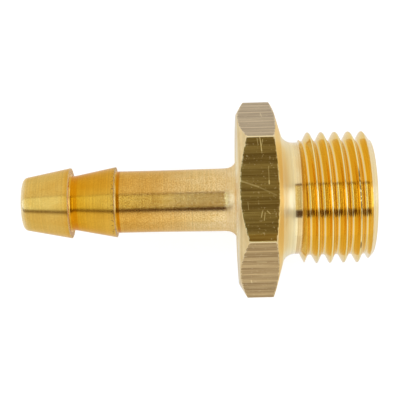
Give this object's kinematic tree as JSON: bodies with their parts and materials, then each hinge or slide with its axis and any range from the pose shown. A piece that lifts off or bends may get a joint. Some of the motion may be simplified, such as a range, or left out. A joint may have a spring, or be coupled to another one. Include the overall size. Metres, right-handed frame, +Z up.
{
  "type": "hose barb tail",
  "caption": "Turned brass hose tail: ridged barb spigot with a waterway through it, hexagon for a spanner and a parallel male pipe thread.",
  "frame": {"origin": "on the bore's axis, in the plane of the hexagon's corners on the thread side", "axes": "+X out of the threaded end along the bore, +Z up, square to the flat that it lies on"},
  "size_m": [0.0344, 0.0196, 0.017],
  "materials": {
    "turned_brass": "bright as turned, with fine tool lines round the turned faces and draw lines along the hexagon's flats"
  },
  "bodies": {
    "root": {"hose_tail": "turned_brass"}
  },
  "joints": []
}
